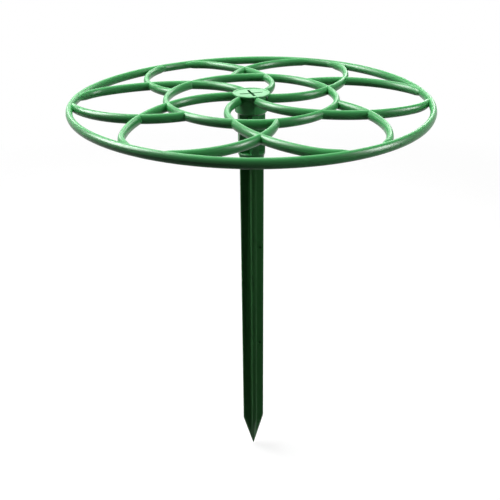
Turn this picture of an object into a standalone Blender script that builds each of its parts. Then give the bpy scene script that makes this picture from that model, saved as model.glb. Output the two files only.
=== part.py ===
"""Round garden trellis: a flat grid of rods on a socket, carried by a cross-section stake.

The grid is one moulding on the real object. Here it is built from its rods, each rod a solid
of its own that ends a touching gap short of the rod it joins, so its windows stay open.
The world origin is the stake's point and +Z runs up the stake. The stake's arms lie along X and Y.
"""
import math

import bpy
from mathutils import Matrix, Vector, geometry

# Driving dimensions of the grid, in metres
PETALS = 6
RING_RADIUS = 0.175
INNER_RADIUS = 0.084
ROD_WIDTH = 0.0063
ROD_HEIGHT = 0.0091
GRID_HEIGHT = 0.461
TOUCH_GAP = 0.0003

# One petal: arcs that run into each other, out from the hub, round the tip and back in.
# Turns are seen from the grid's centre and measured from the petal's tip.
PETAL_PHASE = math.radians(-7.6)
TIP_RADIUS = 0.0467
TIP_BEFORE = math.radians(59)
TIP_AFTER = math.radians(39.5)
TIP_MERGE = math.radians(16)
SPOKE_RADIUS = 0.131
SPOKE_SWEEP = math.radians(46)
ROOT_TURN = math.radians(-80.8)
LANDING_TURN = math.radians(43.1)

# Hub: a round disc over a drum, with a cross-shaped sleeve below that takes the stake's tenon.
# Its cross, and the tenon with it, is turned a little from the arms of the stake.
HUB_TURN = math.radians(7)
DISC_LIP = 0.0026
DISC_THICKNESS = 0.0016
DISC_RISE = 0.0070
DISC_EDGE = 0.0004
DRUM_LIP = 0.0025
DRUM_DROP = 0.0115
DRUM_CHAMFER = 0.0016
SLEEVE_DROP = 0.0610
SLEEVE_WALL = 0.0012
COLLAR_HEIGHT = 0.0068
COLLAR_LIP = 0.0004
COLLAR_TAPER = 0.0012
SLOT_WIDTH = 0.0022
SLOT_HALF_LENGTH = 0.0118

# Stake: a cross-shaped shaft with a four-sided point and a slimmer tenon that enters the sleeve
STAKE_REACH = 0.0125
STAKE_ARM = 0.0054
STAKE_EDGE = 0.0005
POINT_HEIGHT = 0.046
TENON_STEP = 0.0005
FIT_GAP = 0.0003

# Sizes that follow from the ones above
GRID_LIFT = Vector((0, 0, GRID_HEIGHT))
DISC_TOP = GRID_HEIGHT + DISC_RISE
DISC_UNDER = DISC_TOP - DISC_THICKNESS
DRUM_UNDER = GRID_HEIGHT - DRUM_DROP
SLEEVE_FOOT = GRID_HEIGHT - SLEEVE_DROP
SHOULDER = SLEEVE_FOOT - TOUCH_GAP
TENON_REACH = STAKE_REACH - TENON_STEP
TENON_ARM = STAKE_ARM - 2 * TENON_STEP
BORE_REACH = TENON_REACH + FIT_GAP
BORE_ARM = TENON_ARM + 2 * FIT_GAP
SLEEVE_REACH = BORE_REACH + SLEEVE_WALL
SLEEVE_ARM = BORE_ARM + 2 * SLEEVE_WALL
COLLAR_RADIUS = SLEEVE_REACH + COLLAR_LIP
DRUM_RADIUS = SLEEVE_REACH + DRUM_LIP
DISC_RADIUS = DRUM_RADIUS + DISC_LIP
ROOT_DISTANCE = DRUM_RADIUS - ROD_WIDTH

# How finely curves are cut into straight runs, and how far a cutter reaches past what it cuts
ROD_RESOLUTION = 4
RING_SIDES = 12
ARC_STEP = math.radians(7)
LONG_ARC_STEP = math.radians(5)
RING_STEPS = 72
TURN_STEPS = 48
CUT_PAST = 0.0050
WELD_DISTANCE = 0.00002
EDGE_ANGLE = math.radians(40)


def clear_scene():
    for old in list(bpy.data.objects):
        bpy.data.objects.remove(old, do_unlink=True)


def new_collection(name):
    group = bpy.data.collections.new(name)
    bpy.context.scene.collection.children.link(group)
    return group


def plastic(name, colour, roughness):
    made = bpy.data.materials.new(name)
    made.use_nodes = True
    shader = made.node_tree.nodes["Principled BSDF"]
    shader.inputs["Base Color"].default_value = (*colour, 1.0)
    shader.inputs["Roughness"].default_value = roughness
    shader.inputs["Metallic"].default_value = 0.0
    return made


clear_scene()
PARTS = new_collection("garden_trellis")
CUTTERS = new_collection("cutters")
GRID_GREEN = plastic("grid_green", (0.045, 0.245, 0.075), 0.35)
STAKE_GREEN = plastic("stake_green", (0.010, 0.055, 0.016), 0.45)


def polar(radius, angle):
    return Vector((radius * math.cos(angle), radius * math.sin(angle)))


def keep(thing, material):
    """Put a finished object in the part's collection with its material."""
    for group in list(thing.users_collection):
        group.objects.unlink(thing)
    PARTS.objects.link(thing)
    thing.data.materials.clear()
    thing.data.materials.append(material)
    return thing


def as_cutter(thing):
    """Put an object among the tools that shape the part and aren't rendered."""
    for group in list(thing.users_collection):
        group.objects.unlink(thing)
    CUTTERS.objects.link(thing)
    thing.hide_render = True
    thing.display_type = "WIRE"
    return thing


def boolean(thing, operation, *tools):
    for tool in tools:
        step = thing.modifiers.new(f"{operation.lower()}_{tool.name}", "BOOLEAN")
        step.operation = operation
        step.solver = "EXACT"
        step.object = tool
    return thing


def chamfered(thing, width):
    step = thing.modifiers.new("edges", "BEVEL")
    step.width = width
    step.segments = 1
    step.limit_method = "ANGLE"
    step.angle_limit = EDGE_ANGLE
    return thing


def curve_to_mesh(curve_object):
    """Replace a curve object with its closed mesh, as a Boolean needs."""
    name = curve_object.name
    graph = bpy.context.evaluated_depsgraph_get()
    mesh = bpy.data.meshes.new_from_object(curve_object.evaluated_get(graph))
    place = curve_object.matrix_world.copy()
    bpy.data.objects.remove(curve_object, do_unlink=True)
    solid = bpy.data.objects.new(name, mesh)
    solid.matrix_world = place
    PARTS.objects.link(solid)
    weld = solid.modifiers.new("caps", "WELD")
    weld.merge_threshold = WELD_DISTANCE
    return solid


def rod(name, points, grow=0.0):
    """An oval rod along flat points in the grid's plane, fatter all round by grow."""
    curve = bpy.data.curves.new(name, "CURVE")
    curve.dimensions = "3D"
    curve.twist_mode = "Z_UP"
    curve.bevel_depth = ROD_WIDTH / 2 + grow
    curve.bevel_resolution = ROD_RESOLUTION
    curve.use_fill_caps = True
    line = curve.splines.new("POLY")
    line.points.add(len(points) - 1)
    for knot, place in zip(line.points, points):
        knot.co = (place.x, place.y, 0, 1)
    thing = bpy.data.objects.new(name, curve)
    CUTTERS.objects.link(thing)
    thing.location = GRID_LIFT
    thing.scale.z = (ROD_HEIGHT / 2 + grow) / (ROD_WIDTH / 2 + grow)
    bpy.context.view_layer.update()
    return curve_to_mesh(thing)


def ring(name, radius, grow=0.0):
    """A whole circle of the same oval rod."""
    bpy.ops.mesh.primitive_torus_add(
        major_radius=radius, minor_radius=ROD_WIDTH / 2 + grow,
        major_segments=RING_STEPS, minor_segments=RING_SIDES, location=GRID_LIFT)
    thing = bpy.context.object
    thing.name = name
    thing.scale.z = (ROD_HEIGHT / 2 + grow) / (ROD_WIDTH / 2 + grow)
    return thing


def prism(name, sides, low, high, z_low, z_high):
    """An upright prism, or a cone with two radii, of so many sides."""
    bpy.ops.mesh.primitive_cone_add(
        vertices=sides, radius1=low, radius2=high, depth=z_high - z_low,
        location=(0, 0, (z_low + z_high) / 2))
    thing = bpy.context.object
    thing.name = name
    return thing


def box(name, size, centre):
    bpy.ops.mesh.primitive_cube_add(size=1, location=centre)
    thing = bpy.context.object
    thing.name = name
    thing.data.transform(Matrix.Diagonal((*size, 1)))
    return thing


def cross(name, reach, arm, z_low, z_high, edge=0.0, turn=0.0):
    """An upright cross-shaped prism of two bars, with their edges taken off and turned about Z."""
    centre = (0, 0, (z_low + z_high) / 2)
    height = z_high - z_low
    along_x = box(name, (2 * reach, arm, height), centre)
    along_y = box(f"{name}_bar", (arm, 2 * reach, height), centre)
    for bar in (along_x, along_y):
        bar.rotation_euler.z = turn
    if edge:
        chamfered(along_x, edge)
        chamfered(along_y, edge)
    return boolean(along_x, "UNION", as_cutter(along_y))


class Arc:
    """A circular arc in the grid's plane, from one angle to another about its centre."""

    def __init__(self, centre, radius, start, end):
        self.centre = centre
        self.radius = radius
        self.start = start
        self.end = end

    def at(self, angle):
        return self.centre + polar(self.radius, angle)

    def points(self, step, start=None, end=None):
        start = self.start if start is None else start
        end = self.end if end is None else end
        count = max(2, math.ceil(abs(end - start) / step))
        return [self.at(start + (end - start) * i / count) for i in range(count + 1)]

    def next_arc(self, angle, radius, sweep):
        """The arc that runs smoothly on from this one, of a given radius and sweep."""
        centre = self.at(angle) - polar(radius, angle)
        return Arc(centre, radius, angle, angle + sweep)

    def arc_to(self, angle, target, way):
        """The arc that runs smoothly on from this one to a target, turning one way, 1 or -1."""
        start = self.at(angle)
        back = start - target
        radius = back.length_squared / (2 * back.dot(polar(1, angle)))
        centre = start - polar(radius, angle)
        facing = target - centre
        sweep = way * (math.atan2(facing.y, facing.x) - angle) % (2 * math.pi)
        return Arc(centre, radius, angle, angle + way * sweep)


class Petal:
    """The arcs of one petal, each drawn outward from its tip: the way to the hub and the return."""

    def __init__(self, angle):
        self.angle = angle
        leave = angle - TIP_BEFORE
        turn_back = angle + TIP_AFTER
        self.tip = Arc(polar(RING_RADIUS - TIP_RADIUS, angle), TIP_RADIUS, leave, turn_back)
        self.spoke = self.tip.next_arc(leave, SPOKE_RADIUS, -SPOKE_SWEEP)
        hub_point = polar(ROOT_DISTANCE, angle + ROOT_TURN)
        self.root = self.spoke.arc_to(self.spoke.end, hub_point, -1)
        landing = polar(INNER_RADIUS, angle + LANDING_TURN)
        self.back = self.tip.arc_to(turn_back, landing, 1)

    def spoke_points(self):
        """The long rod: from where it leaves the outer ring to inside the hub."""
        tip = self.tip.points(ARC_STEP, self.angle - TIP_MERGE, self.tip.start)
        return tip + self.spoke.points(LONG_ARC_STEP)[1:] + self.root.points(ARC_STEP)[1:]

    def return_points(self):
        """The short rod: from where it leaves the outer ring to the inner ring."""
        tip = self.tip.points(ARC_STEP, self.angle + TIP_MERGE, self.tip.end)
        return tip + self.back.points(ARC_STEP)[1:]


def crossing(line, other):
    """Where one line of points first crosses another: the point, and how many come before it."""
    for before, (start, end) in enumerate(zip(line, line[1:]), 1):
        for low, high in zip(other, other[1:]):
            point = geometry.intersect_line_line_2d(start, end, low, high)
            if point is not None:
                return point, before
    raise ValueError("these two rods don't cross")


PETAL_LIST = [Petal(PETAL_PHASE + 2 * math.pi * k / PETALS) for k in range(PETALS)]
INNER_CIRCLE = Arc(Vector((0, 0)), INNER_RADIUS, 0, 2 * math.pi)


def make_stake():
    """The shaft starts below the pyramid's point, so that the pyramid alone shapes its foot."""
    stake = cross("stake", STAKE_REACH, STAKE_ARM, -POINT_HEIGHT, SHOULDER, STAKE_EDGE)
    steepness = STAKE_REACH / POINT_HEIGHT
    pyramid = prism("point", 4, 0, steepness * GRID_HEIGHT, 0, GRID_HEIGHT)
    overlap = STAKE_ARM / 2
    tenon = cross("tenon", TENON_REACH, TENON_ARM, SHOULDER - overlap, GRID_HEIGHT,
                  STAKE_EDGE, HUB_TURN)
    boolean(stake, "INTERSECT", as_cutter(pyramid))
    boolean(stake, "UNION", as_cutter(tenon))
    return keep(stake, STAKE_GREEN)


def make_hub():
    """Disc, drum, sleeve and collar in one solid, with the bore and the disc's slots cut out."""
    hub = prism("hub_socket", TURN_STEPS, DISC_RADIUS, DISC_RADIUS, DISC_UNDER, DISC_TOP)
    chamfered(hub, DISC_EDGE)
    drum_top = DISC_TOP - DISC_EDGE
    drum = prism("drum", TURN_STEPS, DRUM_RADIUS, DRUM_RADIUS, DRUM_UNDER, drum_top)
    foot = prism("drum_foot", TURN_STEPS, DRUM_RADIUS - DRUM_CHAMFER, DRUM_RADIUS,
                 DRUM_UNDER - DRUM_CHAMFER, DRUM_UNDER)
    collar_top = SLEEVE_FOOT + COLLAR_HEIGHT
    sleeve_low = (SLEEVE_FOOT + collar_top) / 2
    sleeve = cross("sleeve", SLEEVE_REACH, SLEEVE_ARM, sleeve_low, DISC_UNDER, turn=HUB_TURN)
    collar = prism("collar", TURN_STEPS, COLLAR_RADIUS - COLLAR_TAPER, COLLAR_RADIUS,
                   SLEEVE_FOOT, collar_top)
    boolean(drum, "UNION", as_cutter(foot))
    boolean(hub, "UNION", as_cutter(drum), as_cutter(sleeve), as_cutter(collar))
    bore = cross("bore", BORE_REACH, BORE_ARM, SLEEVE_FOOT - CUT_PAST, DISC_UNDER, turn=HUB_TURN)
    slots = cross("slots", SLOT_HALF_LENGTH, SLOT_WIDTH, DISC_UNDER - DISC_THICKNESS,
                  DISC_TOP + CUT_PAST, turn=HUB_TURN)
    boolean(hub, "DIFFERENCE", as_cutter(bore), as_cutter(slots))
    return keep(hub, GRID_GREEN)


def hub_envelope():
    """The hub's outside, fatter by the touching gap, that the spokes end against."""
    drum = prism("drum_envelope", TURN_STEPS, DRUM_RADIUS + TOUCH_GAP, DRUM_RADIUS + TOUCH_GAP,
                 DRUM_UNDER - CUT_PAST, DISC_TOP)
    disc = prism("disc_envelope", TURN_STEPS, DISC_RADIUS + TOUCH_GAP, DISC_RADIUS + TOUCH_GAP,
                 DISC_UNDER - TOUCH_GAP, DISC_TOP + CUT_PAST)
    return as_cutter(drum), as_cutter(disc)


def make_grid():
    keep(ring("outer_ring", RING_RADIUS), GRID_GREEN)
    outer_envelope = as_cutter(ring("outer_envelope", RING_RADIUS, TOUCH_GAP))
    inner_envelope = as_cutter(ring("inner_envelope", INNER_RADIUS, TOUCH_GAP))
    drum_envelope, disc_envelope = hub_envelope()
    spoke_envelopes = []
    for number, petal in enumerate(PETAL_LIST, 1):
        spoke = rod(f"spoke_{number}", petal.spoke_points())
        boolean(spoke, "DIFFERENCE", outer_envelope, drum_envelope, disc_envelope)
        keep(spoke, GRID_GREEN)
        envelope = rod(f"spoke_envelope_{number}", petal.spoke_points(), TOUCH_GAP)
        spoke_envelopes.append(as_cutter(envelope))

    for number, petal in enumerate(PETAL_LIST, 1):
        following = number % PETALS
        here = spoke_envelopes[number - 1]
        ahead = spoke_envelopes[following]

        start, _ = crossing(petal.spoke_points(), INNER_CIRCLE.points(ARC_STEP))
        begin = math.atan2(start.y, start.x)
        arc = INNER_CIRCLE.points(ARC_STEP, begin, begin + 2 * math.pi / PETALS)
        inner = rod(f"inner_arc_{number}", arc)
        keep(boolean(inner, "DIFFERENCE", here, ahead), GRID_GREEN)

        way_in = petal.return_points()
        knot, before = crossing(way_in, PETAL_LIST[following].spoke_points())
        outer_part = rod(f"return_outer_{number}", way_in[:before] + [knot])
        keep(boolean(outer_part, "DIFFERENCE", outer_envelope, ahead), GRID_GREEN)
        inner_part = rod(f"return_inner_{number}", [knot] + way_in[before:])
        keep(boolean(inner_part, "DIFFERENCE", inner_envelope, ahead), GRID_GREEN)


make_stake()
make_hub()
make_grid()
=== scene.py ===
# %% [markdown]
# # A round garden trellis
# Tall flowers flop over in the rain. This support holds them up: the stems grow through the
# windows of a flat ring of plastic rods, and the ring sits on a stake pushed into the soil.
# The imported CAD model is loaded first. It is the fixed frame: each piece made below takes the
# place of one CAD node and moves with that node's body.

import math

import bmesh
import bpy
from mathutils import Matrix, Vector, geometry


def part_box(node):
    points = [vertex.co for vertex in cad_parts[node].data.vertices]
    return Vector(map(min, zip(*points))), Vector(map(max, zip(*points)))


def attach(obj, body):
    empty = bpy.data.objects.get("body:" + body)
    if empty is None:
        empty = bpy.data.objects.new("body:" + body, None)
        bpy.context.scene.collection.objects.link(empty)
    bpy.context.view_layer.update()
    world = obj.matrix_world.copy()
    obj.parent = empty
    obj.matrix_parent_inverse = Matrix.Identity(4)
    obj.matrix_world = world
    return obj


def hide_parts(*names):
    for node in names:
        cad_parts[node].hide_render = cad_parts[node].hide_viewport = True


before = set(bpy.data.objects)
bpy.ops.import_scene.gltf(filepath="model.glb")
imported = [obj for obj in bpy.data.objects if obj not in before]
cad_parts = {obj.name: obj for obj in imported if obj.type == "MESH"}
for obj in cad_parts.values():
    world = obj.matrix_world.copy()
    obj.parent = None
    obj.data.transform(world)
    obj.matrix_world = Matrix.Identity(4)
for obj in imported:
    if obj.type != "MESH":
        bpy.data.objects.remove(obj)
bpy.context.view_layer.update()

# %% [markdown]
# ## Where things are
# The rods lie in one level plane. The CAD model's outer ring says how high that plane is and how
# tall a rod is, and the hub and the stake say how far they reach. These sizes could be typed
# again, but then the looks and the solids would part as soon as somebody changes one of them.
# Only a rod's width is typed, because a box round the ring doesn't show it.

# %% Read the sizes from the frame
RING_LOW, RING_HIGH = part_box("outer_ring")
GRID_HEIGHT = (RING_LOW.z + RING_HIGH.z) / 2
ROD_HEIGHT = RING_HIGH.z - RING_LOW.z
ROD_WIDTH = 0.0063
RING_RADIUS = (RING_HIGH.x - RING_LOW.x - ROD_WIDTH) / 2
HUB_LOW, HUB_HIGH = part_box("hub_socket")
STAKE_LOW, STAKE_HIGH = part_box("stake")
print("grid at", round(GRID_HEIGHT, 4), "ring radius", round(RING_RADIUS, 4))

# %% [markdown]
# ## The camera
# A camera could be turned by eye until the two pictures agree. Here a plain pinhole camera was
# fitted to the photograph instead, because the ring is seen at a flat angle, where one degree
# shows. It looks 26 degrees down, from a little to the left of the front, at three and a half
# ring radii. Its optical axis meets the picture above the middle, as happens when a picture is
# cropped, so the camera gets a small shift.

# %% Place the camera
FOCAL_PIXELS = 627.0
PICTURE_PIXELS = 500.0
CAMERA_TURN = math.radians(9.5)
CAMERA_PITCH = math.radians(26.0)
CAMERA_ROLL = math.radians(-0.36)
CAMERA_SETBACK = 3.477 * RING_RADIUS
CAMERA_RISE = 0.9756 * RING_RADIUS
AXIS_COLUMN = 252.08
AXIS_ROW = 213.4
SENSOR = 36.0


def place_camera():
    data = bpy.data.cameras.new("photo_camera")
    data.sensor_width = SENSOR
    data.lens = SENSOR * FOCAL_PIXELS / PICTURE_PIXELS
    data.shift_x = (PICTURE_PIXELS / 2 - AXIS_COLUMN) / PICTURE_PIXELS
    data.shift_y = (AXIS_ROW - PICTURE_PIXELS / 2) / PICTURE_PIXELS
    data.clip_start = 0.01
    data.clip_end = 50.0
    camera = bpy.data.objects.new("photo_camera", data)
    bpy.context.scene.collection.objects.link(camera)
    away = Vector((-math.sin(CAMERA_TURN), -math.cos(CAMERA_TURN), 0))
    camera.location = away * CAMERA_SETBACK + Vector((0, 0, GRID_HEIGHT + CAMERA_RISE))
    down = Vector((0, 0, -math.sin(CAMERA_PITCH)))
    aim = down - away * math.cos(CAMERA_PITCH)
    facing = aim.to_track_quat("-Z", "Y").to_matrix().to_4x4()
    roll = Matrix.Rotation(CAMERA_ROLL, 4, "Z")
    camera.matrix_world = Matrix.Translation(camera.location) @ facing @ roll
    bpy.context.scene.camera = camera
    return camera


camera = place_camera()
print("camera at", [round(c, 3) for c in camera.location], "lens", round(camera.data.lens, 2))

# %% [markdown]
# ## Arithmetic on sockets
# A finish is a small sum of masks and patterns. Written as Python, the sum reads like a sum:
# `1 - mask * 0.3`. The class below wraps one output socket, and each operator adds the Math node
# that does it. The reflected forms (`__radd__` and the like) are what makes a number on the left
# work as well.

# %% The socket class
class Wire:
    """One output socket of a node tree. Arithmetic on it adds Math nodes."""

    def __init__(self, finish, socket):
        self.finish = finish
        self.socket = socket

    def __add__(self, other):
        return self.finish.math("ADD", self, other)

    def __radd__(self, other):
        return self.finish.math("ADD", other, self)

    def __sub__(self, other):
        return self.finish.math("SUBTRACT", self, other)

    def __rsub__(self, other):
        return self.finish.math("SUBTRACT", other, self)

    def __mul__(self, other):
        return self.finish.math("MULTIPLY", self, other)

    def __rmul__(self, other):
        return self.finish.math("MULTIPLY", other, self)

    def __truediv__(self, other):
        return self.finish.math("DIVIDE", self, other)

    def __rtruediv__(self, other):
        return self.finish.math("DIVIDE", other, self)


print("sockets can be added, subtracted, multiplied and divided")

# %% [markdown]
# ## One method for every other node
# Noise, ramps, bumps and shaders all come from `make`: it takes the node's type, then the settings
# that change what sockets it has, then the values or wires of those sockets. Colours are mixed by
# a Mix node, because a Math node would turn them grey.

# %% The finish class
class Finish:
    """A node tree that is being written: a material's, or the world's."""

    def __init__(self, tree):
        self.tree = tree
        tree.nodes.clear()

    def make(self, kind, settings=None, values=None, output=0):
        node = self.tree.nodes.new(kind)
        for name, setting in (settings or {}).items():
            if name == "stops":
                self.set_stops(node.color_ramp, setting)
            else:
                setattr(node, name, setting)
        for name, value in (values or {}).items():
            if isinstance(value, Wire):
                self.tree.links.new(value.socket, node.inputs[name])
            else:
                node.inputs[name].default_value = value
        if not node.outputs:
            return None
        return Wire(self, node.outputs[output])

    def set_stops(self, ramp, stops):
        while len(ramp.elements) > 1:
            ramp.elements.remove(ramp.elements[-1])
        for number, (place, level) in enumerate(stops):
            stop = ramp.elements[0] if number == 0 else ramp.elements.new(place)
            stop.position = place
            stop.color = (level, level, level, 1)

    def ramp(self, wire, *stops):
        """A grey level read off a ramp of (place, level) stops."""
        return self.make("ShaderNodeValToRGB", {"stops": stops}, {"Fac": wire})

    def blend(self, factor, first, second):
        """A colour between two, by a factor from 0 to 1. Sockets 6 and 7 take the colours."""
        settings = {"data_type": "RGBA", "clamp_factor": True}
        return self.make("ShaderNodeMix", settings, {0: factor, 6: first, 7: second}, output=2)

    def own_place(self):
        """Where a point is in the object's own metres."""
        return self.make("ShaderNodeTexCoord", output="Object")

    def math(self, operation, first, second):
        return self.make("ShaderNodeMath", {"operation": operation}, {0: first, 1: second})

    def noise(self, place, scale, detail=2.0):
        """A cloudy pattern with a feature about every 1/scale metres."""
        return self.make("ShaderNodeTexNoise", None,
                         {"Vector": place, "Scale": scale, "Detail": detail})

    def stretched(self, place, stretch):
        """A place with each axis multiplied, so that a pattern on it is drawn out."""
        settings = {"operation": "MULTIPLY"}
        return self.make("ShaderNodeVectorMath", settings, {0: place, 1: stretch})


def new_finish(name):
    material = bpy.data.materials.new(name)
    material.use_nodes = True
    return material, Finish(material.node_tree)


print("finishes can be written")

# %% [markdown]
# ## The grid's plastic
# The grid is satin plastic, most likely dyed polypropylene. One flat green would look like paint:
# in a moulding the dye drifts a little as the melt flows, the skin has a fine orange peel from the
# mould, and handling leaves soft scuffs that dull the shine. A picture of plastic could be wrapped
# round the rods, but noise needs no unwrapping and never repeats. Each pattern has its scale, in
# features per metre. The specular level is low, because the white studio around the object would
# otherwise put a grey veil over its dark undersides.

# %% Write the grid's plastic
GRID_GREEN = (0.038, 0.250, 0.066, 1)
GRID_PALE = (0.056, 0.305, 0.092, 1)
DYE_DRIFT = 22.0
MELT_FLOW = 160.0
ORANGE_PEEL = 1500.0
SCUFFS = 340.0


def make_grid_plastic():
    material, finish = new_finish("satin_green_plastic")
    place = finish.own_place()
    drift = finish.noise(place, DYE_DRIFT, 3.0)
    flow = finish.noise(finish.stretched(place, (1, 1, 6)), MELT_FLOW)
    peel = finish.noise(place, ORANGE_PEEL, 1.0)
    scuffs = finish.ramp(finish.noise(place, SCUFFS, 4.0), (0.56, 0), (0.70, 1))
    tint = finish.blend(drift * 0.8 + flow * 0.2, GRID_GREEN, GRID_PALE)
    rough = 0.27 + drift * 0.05 + scuffs * 0.08
    bump = finish.make("ShaderNodeBump", None, {
        "Strength": 0.12, "Distance": 0.0002, "Height": peel * 0.5 + flow * 0.6})
    shader = finish.make("ShaderNodeBsdfPrincipled", None, {
        "Base Color": tint, "Roughness": rough, "Normal": bump, "Specular IOR Level": 0.13})
    finish.make("ShaderNodeOutputMaterial", None, {"Surface": shader})
    return material


GRID_PLASTIC = make_grid_plastic()
print("made", GRID_PLASTIC.name)

# %% [markdown]
# ## The stake's plastic
# The stake is a darker, duller green. Soil scratches such a stake lengthways, so it gets a coarser
# skin than the grid, with a fine grit all over and long marks along its length. The marks could be
# modelled as grooves, but they are finer than any shape that shows, so a noise that is stretched
# fifty times along the stake draws them.

# %% Write the stake's plastic
STAKE_GREEN = (0.028, 0.130, 0.036, 1)
STAKE_PALE = (0.042, 0.180, 0.050, 1)
DRAW_MARKS = 700.0
DRAWN_OUT = (1, 1, 0.02)
STAKE_DRIFT = 30.0
SKIN_GRIT = 900.0


def make_stake_plastic():
    material, finish = new_finish("satin_dark_green_plastic")
    place = finish.own_place()
    draw = finish.noise(finish.stretched(place, DRAWN_OUT), DRAW_MARKS, 3.0)
    drift = finish.noise(place, STAKE_DRIFT, 3.0)
    grit = finish.noise(place, SKIN_GRIT, 2.0)
    tint = finish.blend(drift * 0.5 + draw * 0.5, STAKE_GREEN, STAKE_PALE)
    rough = 0.34 + draw * 0.12 + grit * 0.08
    bump = finish.make("ShaderNodeBump", None, {
        "Strength": 0.4, "Distance": 0.0003, "Height": draw * 0.6 + grit * 0.4})
    shader = finish.make("ShaderNodeBsdfPrincipled", None, {
        "Base Color": tint, "Roughness": rough, "Normal": bump, "Specular IOR Level": 0.04})
    finish.make("ShaderNodeOutputMaterial", None, {"Surface": shader})
    return material


STAKE_PLASTIC = make_stake_plastic()
print("made", STAKE_PLASTIC.name)

# %% [markdown]
# ## From points to a shown piece
# Blender's own primitives could be stretched and joined, but the rods follow exact arcs, so every
# piece below is a list of corners and faces that is worked out. The first helper makes it an
# object. The second gives it its finish, smooths the faces that meet at a shallow angle, hangs it
# on the body that it rides on, and hides the CAD node that it stands for.

# %% Turn corners and faces into an object
def mesh_object(name, corners, faces):
    mesh = bpy.data.meshes.new(name)
    mesh.from_pydata([tuple(c) for c in corners], [], faces)
    made = bmesh.new()
    made.from_mesh(mesh)
    bmesh.ops.recalc_face_normals(made, faces=made.faces)
    made.to_mesh(mesh)
    made.free()
    thing = bpy.data.objects.new(name, mesh)
    bpy.context.scene.collection.objects.link(thing)
    return thing


print("meshes can be made")

# %% Show an object as a piece of the trellis
SMOOTH_BELOW = math.radians(32)


def show(thing, node, body, finish):
    thing.data.materials.clear()
    thing.data.materials.append(finish)
    thing.data.shade_smooth()
    thing.data.set_sharp_from_angle(angle=SMOOTH_BELOW)
    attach(thing, body)
    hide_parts(node)
    return thing


def show_on_grid(thing, node):
    return show(thing, node, "ring_grid", GRID_PLASTIC)


print("faces are smoothed below", round(math.degrees(SMOOTH_BELOW)), "degrees")

# %% [markdown]
# ## The section of a rod
# The rods are ovals, taller than wide. The two halves of the mould met at mid-height, and left a
# fine ridge there, the parting line. A torus or a curve's round bevel has no such ridge, so the
# section is written out as points: how far sideways, and how far up.

# %% Write the rod's section
SECTION_SIDES = 40
PARTING_RIDGE = 0.00012


def rod_section():
    section = []
    for k in range(SECTION_SIDES):
        turn = 2 * math.pi * k / SECTION_SIDES
        ridge = PARTING_RIDGE if k % (SECTION_SIDES // 2) == 0 else 0
        section.append((math.cos(turn) * (ROD_WIDTH / 2 - PARTING_RIDGE + ridge),
                        math.sin(turn) * ROD_HEIGHT / 2))
    return section


SECTION = rod_section()
print(len(SECTION), "points round a rod")

# %% [markdown]
# ## The warp of the moulding
# A thin, wide moulding never cools flat. In the photograph the middle of the grid stands a little
# higher than its rim, like a shallow dome, and the rim itself is bent like a saddle: its left
# front and its right back are high. Both are under 2 mm. The dome fades out at the rim, and the
# saddle in the middle. A lattice could bend the finished grid, but one formula, which every rod
# asks for its height, bends them all alike, and no joint opens.

# %% Write the warp
CROWN = 0.0018
SADDLE = 0.0013


def polar(radius, angle):
    return Vector((radius * math.cos(angle), radius * math.sin(angle)))


def warp(place):
    """How far the grid stands above its own level plane at a place."""
    out = min(place.length / RING_RADIUS, 1)
    dome = CROWN * (1 + math.cos(math.pi * out)) / 2
    return dome + SADDLE * 2 * place.x * place.y / RING_RADIUS ** 2


for name, angle in (("left front", 225), ("right front", 315)):
    rim = polar(RING_RADIUS, math.radians(angle))
    print(name, "of the rim:", round(1000 * warp(rim), 2), "mm")
print("middle:", round(1000 * warp(Vector((0, 0))), 2), "mm")

# %% [markdown]
# ## Sweeping the section
# A rod is its section, placed upright across the path at each of its points. A curve with a bevel
# could do this too, but here each point also takes its height from the warp. Where two rods run
# into each other, the later one goes on to the middle of the earlier one, as they do in a
# moulding. `size_at` lets a rod slim down where it slides into another one, so that their skins
# don't lie on top of each other and flicker.

# %% Find the way a path heads
def headings(path, closed):
    """The direction of the path at each of its points."""
    count = len(path)
    found = []
    for k in range(count):
        before = path[k - 1] if closed or k > 0 else path[k]
        after = path[(k + 1) % count] if closed or k < count - 1 else path[k]
        found.append((after - before).normalized())
    return found


RING_STEPS = 360
outer_path = [polar(RING_RADIUS, 2 * math.pi * k / RING_STEPS) for k in range(RING_STEPS)]
print("the outer ring's first heading:", headings(outer_path, True)[0])

# %% Sweep a rod
def sweep(name, path, closed=False, size_at=None):
    corners = []
    faces = []
    for k, (place, heading) in enumerate(zip(path, headings(path, closed))):
        across = Vector((heading.y, -heading.x))
        size = size_at(k / (len(path) - 1)) if size_at else 1
        middle = GRID_HEIGHT + warp(place)
        for side, up in SECTION:
            flat = place + across * (side * size)
            corners.append((flat.x, flat.y, middle + up * size))
    rings = len(path)
    around = len(SECTION)
    for k in range(rings if closed else rings - 1):
        here = k * around
        there = (k + 1) % rings * around
        for j in range(around):
            beside = (j + 1) % around
            faces.append((here + j, here + beside, there + beside, there + j))
    if not closed:
        faces.append(tuple(range(around)))
        faces.append(tuple(range((rings - 1) * around, rings * around)))
    return mesh_object(name, corners, faces)


outer_rod = show_on_grid(sweep("outer_rod", outer_path, closed=True), "outer_ring")
print("outer rod:", len(outer_rod.data.polygons), "faces")

# %% [markdown]
# ## Drawing a petal
# The trellis is a pattern of six petals. One line draws each of them: it leaves the hub, sweeps
# out, turns round a tight arc that touches the outer ring, and comes back to the inner ring. A
# free curve with handles could follow the photograph, but it would need many of them. Here every
# stretch is a circular arc that starts in the direction in which the last one ended, so the rod
# never has a kink. Two small methods carry that rule, and the sizes are the CAD model's.

# %% Arcs that run into each other
PATH_STEP = 0.0022


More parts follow.
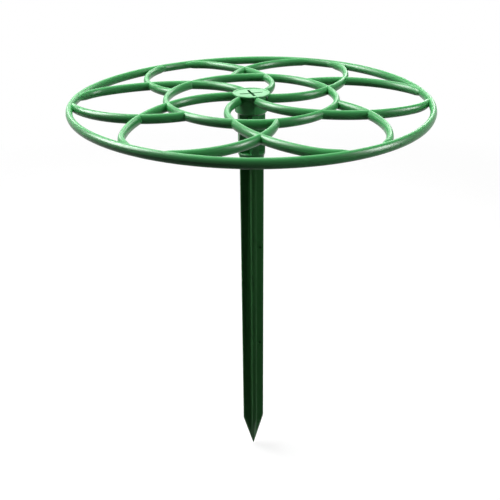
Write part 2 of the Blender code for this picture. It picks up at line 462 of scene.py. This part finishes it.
class Arc:
    """A circular arc in the grid's plane, from one angle to another about its centre."""

    def __init__(self, centre, radius, start, end):
        self.centre = centre
        self.radius = radius
        self.start = start
        self.end = end

    def at(self, angle):
        return self.centre + polar(self.radius, angle)

    def points(self, start=None, end=None):
        start = self.start if start is None else start
        end = self.end if end is None else end
        count = max(2, math.ceil(abs(end - start) * self.radius / PATH_STEP))
        return [self.at(start + (end - start) * k / count) for k in range(count + 1)]

    def next_arc(self, angle, radius, sweep_angle):
        """The arc that runs smoothly on from this one."""
        centre = self.at(angle) - polar(radius, angle)
        return Arc(centre, radius, angle, angle + sweep_angle)

    def arc_to(self, angle, target, way):
        """The arc that runs smoothly on from this one and ends at a target."""
        start = self.at(angle)
        back = start - target
        radius = back.length_squared / (2 * back.dot(polar(1, angle)))
        centre = start - polar(radius, angle)
        facing = target - centre
        turn = way * (math.atan2(facing.y, facing.x) - angle) % (2 * math.pi)
        return Arc(centre, radius, angle, angle + way * turn)


print("a point about every", PATH_STEP * 1000, "mm")

# %% The line of a petal
PETALS = 6
PETAL_PHASE = math.radians(-7.6)
INNER_RADIUS = 0.084
TIP_RADIUS = 0.0467
TIP_BEFORE = math.radians(59)
TIP_AFTER = math.radians(39.5)
TIP_MERGE = math.radians(12)
SPOKE_RADIUS = 0.131
SPOKE_SWEEP = math.radians(46)
ROOT_TURN = math.radians(-80.8)
LANDING_TURN = math.radians(43.1)
ROOT_DISTANCE = 0.0097


class Petal:
    """The line of one petal: the way to the hub, and the way back to the inner ring."""

    def __init__(self, angle):
        leave = angle - TIP_BEFORE
        turn_back = angle + TIP_AFTER
        tip = Arc(polar(RING_RADIUS - TIP_RADIUS, angle), TIP_RADIUS, leave, turn_back)
        spoke = tip.next_arc(leave, SPOKE_RADIUS, -SPOKE_SWEEP)
        root = spoke.arc_to(spoke.end, polar(ROOT_DISTANCE, angle + ROOT_TURN), -1)
        back = tip.arc_to(turn_back, polar(INNER_RADIUS, angle + LANDING_TURN), 1)
        self.way_in = tip.points(angle - TIP_MERGE, leave) + spoke.points()[1:] + root.points()[1:]
        self.way_back = tip.points(angle + TIP_MERGE, turn_back) + back.points()[1:]


petals = [Petal(PETAL_PHASE + 2 * math.pi * k / PETALS) for k in range(PETALS)]
print(len(petals), "petals, spokes of", len(petals[0].way_in), "points")

# %% [markdown]
# ## The spokes
# A spoke comes out of the ring's skin like a railway line out of a junction: the two run
# together, then part. A Boolean could weld them, but it leaves slivers where two skins almost
# agree. So the spoke starts slim, inside the ring, and grows while they are still one.

# %% Let a rod grow
SLIM = 0.55


def length_of(path):
    return sum((b - a).length for a, b in zip(path, path[1:]))


def grows_in(path, run):
    """Size along a path: slim at its first point, full after a run in metres."""
    share = run / length_of(path)

    def size(t):
        step = min(t / share, 1)
        return SLIM + (1 - SLIM) * step * step * (3 - 2 * step)

    return size


print("a rod starts at", SLIM, "of its full size")

# %% Make the spokes
HUB_SEAT = 0.0146
SPOKE_RUN = 0.018


def stop_at_hub(path):
    return [place for place in path if place.length > HUB_SEAT]


for number, petal in enumerate(petals, 1):
    path = stop_at_hub(petal.way_in)
    rod = sweep(f"spoke_rod_{number}", path, size_at=grows_in(path, SPOKE_RUN))
    show_on_grid(rod, f"spoke_{number}")
print("six spokes,", round(length_of(path) * 1000), "mm long")

# %% [markdown]
# ## The returns
# The way back from the outer ring crosses the next spoke. One rod could run on through it, but the
# CAD model ends a rod there and starts another, so the same is done here, and both meet inside
# the spoke.

# %% Find where two rods cross
def crossing(line, other):
    """Where one line of points first crosses another: the point, and how many come before it."""
    for before, (start, end) in enumerate(zip(line, line[1:]), 1):
        for low, high in zip(other, other[1:]):
            point = geometry.intersect_line_line_2d(start, end, low, high)
            if point is not None:
                return point, before
    raise ValueError("these two rods don't cross")


knot, _ = crossing(petals[0].way_back, petals[1].way_in)
print("the first return crosses a spoke", round(knot.length * 1000, 1), "mm from the middle")

# %% Make the returns
RETURN_RUN = 0.014

for number, petal in enumerate(petals, 1):
    spoke_ahead = petals[number % PETALS].way_in
    knot, before = crossing(petal.way_back, spoke_ahead)
    outer_part = petal.way_back[:before] + [knot]
    inner_part = [knot] + petal.way_back[before:]
    size_at = grows_in(outer_part, RETURN_RUN)
    rod = sweep(f"outer_return_rod_{number}", outer_part, size_at=size_at)
    show_on_grid(rod, f"return_outer_{number}")
    rod = sweep(f"inner_return_rod_{number}", inner_part)
    show_on_grid(rod, f"return_inner_{number}")
print("six returns in two parts")

# %% [markdown]
# ## The inner ring
# The inner ring is a plain circle, and one torus could draw it. The CAD model has it as six equal
# arcs, one between each pair of spokes, so each arc is swept on its own.

# %% Make the inner ring
inner_circle = Arc(Vector((0, 0)), INNER_RADIUS, 0, 2 * math.pi)
for number, petal in enumerate(petals, 1):
    start, _ = crossing(petal.way_in, inner_circle.points())
    begin = math.atan2(start.y, start.x)
    arc = inner_circle.points(begin, begin + 2 * math.pi / PETALS)
    show_on_grid(sweep(f"inner_rod_{number}", arc), f"inner_arc_{number}")
print("six inner arcs")

# %% [markdown]
# ## Turned and straight shapes for the hub
# The hub is made of two kinds of shape. Its disc, drum and collar are round, and are turned from
# a profile, as on a lathe. Its sleeve, bore and slot are crosses, drawn as an outline with rounded
# corners and then pulled upwards. The faces where a cross meets a cone could be worked out one by
# one, but Booleans join and cut such shapes in a line each.

# %% The lathe
ROUND_STEPS = 96


def turned(name, profile, steps=ROUND_STEPS):
    """A round solid from a profile of (radius, height), closed to the axis at both ends."""
    corners = [(0, 0, profile[0][1])]
    for radius, height in profile:
        for k in range(steps):
            flat = polar(radius, 2 * math.pi * k / steps)
            corners.append((flat.x, flat.y, height))
    corners.append((0, 0, profile[-1][1]))
    faces = [(0, 1 + (k + 1) % steps, 1 + k) for k in range(steps)]
    for ring in range(len(profile) - 1):
        low = 1 + ring * steps
        for k in range(steps):
            beside = (k + 1) % steps
            faces.append((low + k, low + beside, low + steps + beside, low + steps + k))
    last = 1 + (len(profile) - 1) * steps
    faces += [(last + k, last + (k + 1) % steps, len(corners) - 1) for k in range(steps)]
    return mesh_object(name, corners, faces)


print(ROUND_STEPS, "steps round a turned piece")

# %% Draw the outline of a cross
CORNER_STEPS = 4


def cross_outline(reach, half_arm, edge, fillet, turn=0.0):
    """The outline of a cross: edges rounded at the tips, and fillets in the four corners."""
    outline = []
    for arm in range(4):
        spin = turn + arm * math.pi / 2
        for centre, radius, start, end in (
            (Vector((reach - edge, -half_arm + edge)), edge, -math.pi / 2, 0),
            (Vector((reach - edge, half_arm - edge)), edge, 0, math.pi / 2),
            (Vector((half_arm + fillet, half_arm + fillet)), fillet, -math.pi / 2, -math.pi),
        ):
            for k in range(CORNER_STEPS + 1):
                angle = start + (end - start) * k / CORNER_STEPS
                outline.append(Matrix.Rotation(spin, 2) @ (centre + polar(radius, angle)))
    return outline


print(CORNER_STEPS, "steps round the corner of a cross")

# %% Pull an outline upwards
def pulled_up(name, outline, levels):
    """A solid from an outline at several levels of (height, inset)."""
    corners = []
    count = len(outline)
    for height, inset in levels:
        for place in outline:
            flat = place - place.normalized() * inset
            corners.append((flat.x, flat.y, height))
    faces = [tuple(range(count)), tuple(range((len(levels) - 1) * count, len(levels) * count))]
    for level in range(len(levels) - 1):
        low = level * count
        for k in range(count):
            beside = (k + 1) % count
            faces.append((low + k, low + beside, low + count + beside, low + count + k))
    return mesh_object(name, corners, faces)


print("outlines can be pulled up")

# %% Join and cut
def combine(thing, operation, tool):
    """Apply one exact Boolean to a piece, and remove the tool."""
    step = thing.modifiers.new(operation.lower(), "BOOLEAN")
    step.operation = operation
    step.solver = "EXACT"
    step.object = tool
    graph = bpy.context.evaluated_depsgraph_get()
    made = bpy.data.meshes.new_from_object(thing.evaluated_get(graph))
    thing.modifiers.clear()
    thing.data = made
    bpy.data.objects.remove(tool)


print("pieces can be joined and cut")

# %% [markdown]
# ## The hub's disc and drum
# A pale disc closes the top. It has a fine raised rim and is dished by half a millimetre. Below it
# is a drum that carries the spokes, with a chamfered foot, a small step and four low ribs. Disc and
# drum could be two cylinders, one on the other. Turned together, from one profile that starts at
# the drum's foot, they have no seam. The ribs are a cross that stands a little proud of the drum.
# The photograph shows one of the four, and the others are guessed, at right angles to it.

# %% Turn the disc and the drum
DISC_TOP = HUB_HIGH.z
DISC_RADIUS = (HUB_HIGH.x - HUB_LOW.x) / 2
DISC_UNDER = DISC_TOP - 0.0016
DISC_EDGE = 0.0004
DISC_LOWER_EDGE = 0.0002
RIM_WIDTH = 0.0016
RIM_SLOPE = 0.0006
RIM_ROUNDING = 0.00006
RIM_DEPTH = 0.0005
DISH_DEPTH = 0.0005
DRUM_RADIUS = 0.0160
DRUM_UNDER = GRID_HEIGHT - 0.0115
DRUM_CHAMFER = 0.0016
DRUM_STEP = 0.0005
STEP_HEIGHT = GRID_HEIGHT + 0.0012
STEP_SLOPE = 0.0001


def dish(edge, height, rings=8):
    """The profile of a shallow dish, from its edge in to the axis."""
    shape = []
    for k in range(rings):
        share = 1 - k / rings
        shape.append((edge * share, height - DISH_DEPTH * (1 - share * share)))
    return shape


def disc_and_drum():
    upper_drum = DRUM_RADIUS - DRUM_STEP
    rim = DISC_RADIUS - RIM_WIDTH
    return turned("hub_moulding", [
        (DRUM_RADIUS - DRUM_CHAMFER, DRUM_UNDER - DRUM_CHAMFER), (DRUM_RADIUS, DRUM_UNDER),
        (DRUM_RADIUS, STEP_HEIGHT), (upper_drum, STEP_HEIGHT + STEP_SLOPE),
        (upper_drum, DISC_UNDER), (DISC_RADIUS - DISC_LOWER_EDGE, DISC_UNDER),
        (DISC_RADIUS, DISC_UNDER + DISC_LOWER_EDGE), (DISC_RADIUS, DISC_TOP - DISC_EDGE),
        (DISC_RADIUS - DISC_EDGE / 4, DISC_TOP - DISC_EDGE * 3 / 8),
        (DISC_RADIUS - DISC_EDGE, DISC_TOP), (rim, DISC_TOP),
        (rim - RIM_SLOPE / 2, DISC_TOP - RIM_ROUNDING),
        *dish(rim - RIM_SLOPE, DISC_TOP - RIM_DEPTH)])


hub_moulding = disc_and_drum()
print("disc and drum:", len(hub_moulding.data.polygons), "faces")

# %% Add the drum's ribs
RIB_PROUD = 0.0005
RIB_HALF_WIDTH = 0.0013
RIB_EDGE = 0.0004


def drum_ribs():
    outline = cross_outline(DRUM_RADIUS + RIB_PROUD, RIB_HALF_WIDTH, RIB_EDGE, RIB_EDGE)
    return pulled_up("ribs", outline, [
        (DRUM_UNDER - DRUM_CHAMFER, DRUM_CHAMFER), (DRUM_UNDER, 0),
        (STEP_HEIGHT - RIB_EDGE, 0), (STEP_HEIGHT, RIB_EDGE)])


combine(hub_moulding, "UNION", drum_ribs())
print("with its ribs:", len(hub_moulding.data.polygons), "faces")

# %% [markdown]
# ## The hub's sleeve, collar and bore
# Under the drum hangs the cross-shaped sleeve that takes the stake, with a tapered collar at its
# foot. The bore runs up through both to the disc, and the disc has a cross-shaped slot, through
# which the mould's core came out. Inner walls could be drawn with the outer ones, but it is
# shorter to cut the bore and the slot last, through everything. The whole cross is turned a
# little from the stake's arms, as the slot in the photograph is.

# %% Add the sleeve and the collar
HUB_TURN = math.radians(7)
SLEEVE_FOOT = HUB_LOW.z
SLEEVE_REACH = 0.0135
SLEEVE_HALF_ARM = 0.0037
CLEAR_OF_DISC = 0.0001
COLLAR_RADIUS = 0.0139
COLLAR_TAPER = 0.0012
COLLAR_TOP = SLEEVE_FOOT + 0.0068
COLLAR_EDGE = 0.0004
COLLAR_LOWER_EDGE = 0.0003


def sleeve():
    outline = cross_outline(SLEEVE_REACH, SLEEVE_HALF_ARM, edge=0.0005, fillet=0.0008,
                            turn=HUB_TURN)
    inside_collar = (SLEEVE_FOOT + COLLAR_TOP) / 2
    return pulled_up("sleeve", outline, [(inside_collar, 0), (DISC_UNDER - CLEAR_OF_DISC, 0)])


def collar():
    foot_radius = COLLAR_RADIUS - COLLAR_TAPER
    return turned("collar", [
        (foot_radius - COLLAR_LOWER_EDGE, SLEEVE_FOOT),
        (foot_radius, SLEEVE_FOOT + COLLAR_LOWER_EDGE),
        (COLLAR_RADIUS - COLLAR_EDGE / 4, COLLAR_TOP - COLLAR_EDGE),
        (COLLAR_RADIUS - COLLAR_EDGE, COLLAR_TOP)])


combine(hub_moulding, "UNION", sleeve())
combine(hub_moulding, "UNION", collar())
print("with sleeve and collar:", len(hub_moulding.data.polygons), "faces")

# %% Cut the bore and the slot
BORE_REACH = 0.0123
BORE_HALF_ARM = 0.0025
SLOT_HALF_LENGTH = 0.0118
SLOT_HALF_WIDTH = 0.0013
SLOT_OVERLAP = 0.001
CUT_PAST = 0.005


def bore():
    outline = cross_outline(BORE_REACH, BORE_HALF_ARM, edge=0.0004, fillet=0.0003, turn=HUB_TURN)
    return pulled_up("bore", outline, [(SLEEVE_FOOT - CUT_PAST, 0), (DISC_UNDER, 0)])


def slot():
    outline = cross_outline(SLOT_HALF_LENGTH, SLOT_HALF_WIDTH, edge=0.0008, fillet=0.0004,
                            turn=HUB_TURN)
    return pulled_up("slot", outline, [(DISC_UNDER - SLOT_OVERLAP, 0), (DISC_TOP + CUT_PAST, 0)])


combine(hub_moulding, "DIFFERENCE", bore())
combine(hub_moulding, "DIFFERENCE", slot())
show_on_grid(hub_moulding, "hub_socket")
print("hub:", len(hub_moulding.data.polygons), "faces")

# %% [markdown]
# ## Marks of the mould
# A moulding is pushed out of its mould by pins, and each pin leaves a round dent. The photograph
# shows two clearly on the stake's right arm, and a third faintly, near its foot. The plastic comes
# in through a gate, which leaves a nub when it is snapped off. The photograph shows none, so the
# nub on the ring's outer face is a guess. A bump could imitate both, but it casts no shadow, so
# they are small round plugs that are added or cut away. The union gives the outer rod a new mesh,
# so the rod is shown once more.

# %% Add the gate's nub
MARK_STEPS = 24
GATE_ANGLE = math.radians(-57)
GATE_RADIUS = 0.0010
GATE_PROUD = 0.0004


def round_mark(name, radius, depth, place, facing):
    """A short round plug through a face: flat inside and domed outside, by the same depth."""
    profile = [(radius, -depth), (radius, depth * 0.4), (radius * 0.7, depth)]
    plug = turned(name, profile, MARK_STEPS)
    turn = facing.to_track_quat("Z", "X").to_matrix().to_4x4()
    plug.data.transform(Matrix.Translation(place) @ turn)
    return plug


def gate_nub():
    flat = polar(RING_RADIUS + ROD_WIDTH / 2, GATE_ANGLE)
    place = Vector((flat.x, flat.y, GRID_HEIGHT + warp(flat)))
    outwards = Vector((*polar(1, GATE_ANGLE), 0))
    return round_mark("gate", GATE_RADIUS, GATE_PROUD, place, outwards)


combine(outer_rod, "UNION", gate_nub())
show_on_grid(outer_rod, "outer_ring")
print("gate nub on the outer rod:", len(outer_rod.data.polygons), "faces")

# %% [markdown]
# ## The stake
# The stake is a long cross, which is stiff for little plastic, with rounded edges and fillets in
# its corners. Its arms could be slanted one by one at the foot, but one steep pyramid cuts all
# four to a point. A slimmer cross on top, the tenon, goes up into the sleeve.

# %% Cut the stake to a point
TOUCH_GAP = 0.0003
SHOULDER = SLEEVE_FOOT - TOUCH_GAP
SHOULDER_EDGE = 0.0004
STAKE_REACH = (STAKE_HIGH.x - STAKE_LOW.x) / 2
STAKE_HALF_ARM = 0.0027
POINT_HEIGHT = 0.046


def pointed_cross():
    outline = cross_outline(STAKE_REACH, STAKE_HALF_ARM, edge=0.0016, fillet=0.0010)
    stake = pulled_up("stake_moulding", outline, [
        (-POINT_HEIGHT, 0), (SHOULDER - SHOULDER_EDGE, 0), (SHOULDER, SHOULDER_EDGE)])
    tall = GRID_HEIGHT + CUT_PAST
    wide = STAKE_REACH / POINT_HEIGHT * tall
    base = [(*polar(wide, k * math.pi / 2), tall) for k in range(4)]
    sides = [(0, 1 + (k + 1) % 4, 1 + k) for k in range(4)]
    pyramid = mesh_object("point", [(0, 0, 0)] + base, sides + [(1, 2, 3, 4)])
    combine(stake, "INTERSECT", pyramid)
    return stake


stake_moulding = pointed_cross()
print("pointed cross:", len(stake_moulding.data.polygons), "faces")

# %% Add the tenon and the dents
TENON_REACH = 0.0120
TENON_HALF_ARM = 0.0022
TENON_ROOT = 0.002
TENON_EDGE = 0.0006
PIN_HEIGHTS = (0.294, 0.164, 0.042)
PIN_FROM_AXIS = 0.0074
PIN_RADIUS = 0.0022
PIN_DEPTH = 0.0011
FRONT = Vector((0, -1, 0))


def tenon():
    outline = cross_outline(TENON_REACH, TENON_HALF_ARM, edge=0.0005, fillet=0.0005, turn=HUB_TURN)
    return pulled_up("tenon", outline, [
        (SHOULDER - TENON_ROOT, 0), (GRID_HEIGHT - TENON_EDGE, 0), (GRID_HEIGHT, TENON_EDGE)])


combine(stake_moulding, "UNION", tenon())
for height in PIN_HEIGHTS:
    place = Vector((PIN_FROM_AXIS, -STAKE_HALF_ARM, height))
    combine(stake_moulding, "DIFFERENCE", round_mark("pin", PIN_RADIUS, PIN_DEPTH, place, FRONT))
show(stake_moulding, "stake", "stake", STAKE_PLASTIC)
print("stake:", len(stake_moulding.data.polygons), "faces")

# %% [markdown]
# ## Floor and background
# The picture's background is plain white. Bright paper could give that, as in a studio, but it
# would light the undersides of the rods, which are almost black in the photograph. So the camera,
# and the reflections in the plastic, see white, while the light that the floor scatters is kept
# low, as on a dark table. Light Path tells these rays apart. Near the object the floor still
# catches a soft shadow.

# %% Tell the rays apart
def seen_ray(finish):
    """1 for rays that show the background: the camera's, and those in gloss and glass."""
    camera_ray = finish.make("ShaderNodeLightPath", output="Is Camera Ray")
    glossy_ray = finish.make("ShaderNodeLightPath", output="Is Glossy Ray")
    clear_ray = finish.make("ShaderNodeLightPath", output="Is Transmission Ray")
    return finish.math("MAXIMUM", camera_ray, finish.math("MAXIMUM", glossy_ray, clear_ray))


print("three kinds of ray see the background")

# %% Write the floor's finish
FLOOR_RADIUS = 1.6
PAPER = (0.35, 0.35, 0.35, 1)
PAPER_GLOW = 0.66
DARK_TABLE = (0.02, 0.02, 0.02, 1)


def make_floor_finish():
    material, finish = new_finish("white_sweep")
    place = finish.own_place()
    distance = finish.make("ShaderNodeVectorMath", {"operation": "LENGTH"}, {0: place}, "Value")
    near = finish.ramp(distance / FLOOR_RADIUS, (0.30, 1), (0.85, 0))
    paper = finish.make("ShaderNodeBsdfDiffuse", None, {"Color": PAPER})
    glow = finish.make("ShaderNodeEmission", None, {"Strength": PAPER_GLOW})
    white = finish.make("ShaderNodeEmission", None, {"Strength": 1.0})
    caught = finish.make("ShaderNodeAddShader", None, {0: paper, 1: glow})
    seen = finish.make("ShaderNodeMixShader", None, {0: near, 1: white, 2: caught})
    dark = finish.make("ShaderNodeBsdfDiffuse", None, {"Color": DARK_TABLE})
    both = finish.make("ShaderNodeMixShader", None, {0: seen_ray(finish), 1: dark, 2: seen})
    finish.make("ShaderNodeOutputMaterial", None, {"Surface": both})
    return material


WHITE_SWEEP = make_floor_finish()
print("made", WHITE_SWEEP.name)

# %% Lay the floor
FLOOR_LEVEL = -0.0005


def make_floor():
    corners = [(0, 0, FLOOR_LEVEL)]
    for k in range(ROUND_STEPS):
        flat = polar(FLOOR_RADIUS, 2 * math.pi * k / ROUND_STEPS)
        corners.append((flat.x, flat.y, FLOOR_LEVEL))
    faces = [(0, 1 + k, 1 + (k + 1) % ROUND_STEPS) for k in range(ROUND_STEPS)]
    floor = mesh_object("floor", corners, faces)
    floor.data.materials.append(WHITE_SWEEP)
    return floor


floor = make_floor()
print("floor:", len(floor.data.polygons), "faces")

# %% Light the world
WHITE = (1, 1, 1, 1)
WORLD_FILL = 0.005


def make_world():
    world = bpy.data.worlds.new("white_room")
    world.use_nodes = True
    finish = Finish(world.node_tree)
    dim = finish.make("ShaderNodeBackground", None, {"Color": WHITE, "Strength": WORLD_FILL})
    white = finish.make("ShaderNodeBackground", None, {"Color": WHITE, "Strength": 1.0})
    both = finish.make("ShaderNodeMixShader", None, {0: seen_ray(finish), 1: dim, 2: white})
    finish.make("ShaderNodeOutputWorld", None, {"Surface": both})
    bpy.context.scene.world = world


make_world()
print("world fill", WORLD_FILL)

# %% [markdown]
# ## Lamps
# The light and the shine come from different places in the photograph. The tops of the rods are
# bright and their undersides are black, so the lamps that light the trellis hang high, above it,
# behind it and to the left. The long highlights on the rods, and the pale sheen on the disc, come
# from five wide, low lamps, which only make shine: they would light the undersides too. One lamp
# in front on the right lights the stake, and leaves its left recess dark. One picture of a studio
# on the world could give all this light, but each lamp can be moved and dimmed on its own.

# %% A soft lamp
AIM = Vector((0, 0, 0.40))
LAMP_DISTANCE = 1.3


def lamp(name, azimuth, elevation, size, brightness, only_shine=False):
    """A soft lamp. Azimuth 0 is in front and 90 on the right, and brightness 1 is paper white."""
    data = bpy.data.lights.new(name, "AREA")
    data.shape = "RECTANGLE"
    data.size, data.size_y = size
    data.energy = brightness * math.pi * size[0] * size[1]
    thing = bpy.data.objects.new(name, data)
    bpy.context.scene.collection.objects.link(thing)
    around = math.radians(azimuth)
    up = math.radians(elevation)
    level = math.cos(up)
    back = Vector((math.sin(around) * level, -math.cos(around) * level, math.sin(up)))
    thing.location = AIM + back * LAMP_DISTANCE
    thing.rotation_mode = "QUATERNION"
    thing.rotation_quaternion = (-back).to_track_quat("-Z", "Y")
    thing.visible_camera = False
    thing.visible_diffuse = not only_shine
    return thing


print("lamps hang", LAMP_DISTANCE, "metres from where they aim")

# %% Hang the lamps
lamps = [
    lamp("top_lamp", 180, 78, (1.2, 1.0), 4.8),
    lamp("high_left_lamp", -115, 54, (0.7, 0.6), 13.5),
    lamp("high_back_lamp", 180, 42, (0.6, 0.45), 4.5),
    lamp("front_right_lamp", 62, 28, (0.35, 0.5), 12),
    lamp("left_shine", -95, 33, (0.7, 0.9), 55, only_shine=True),
    lamp("right_shine", 66, 14, (0.3, 0.6), 60, only_shine=True),
    lamp("back_left_shine", -150, 18, (0.45, 0.3), 8, only_shine=True),
    lamp("back_shine", 176, 22, (0.5, 0.25), 5, only_shine=True),
    lamp("back_right_shine", 145, 18, (0.45, 0.3), 8, only_shine=True),
]
print(len(lamps), "lamps")

# %% [markdown]
# ## Last look
# The visual model has to keep the CAD model's size. The last step only sets the Standard view
# transform.

# %% Set the view transform
bpy.context.scene.view_settings.view_transform = "Standard"
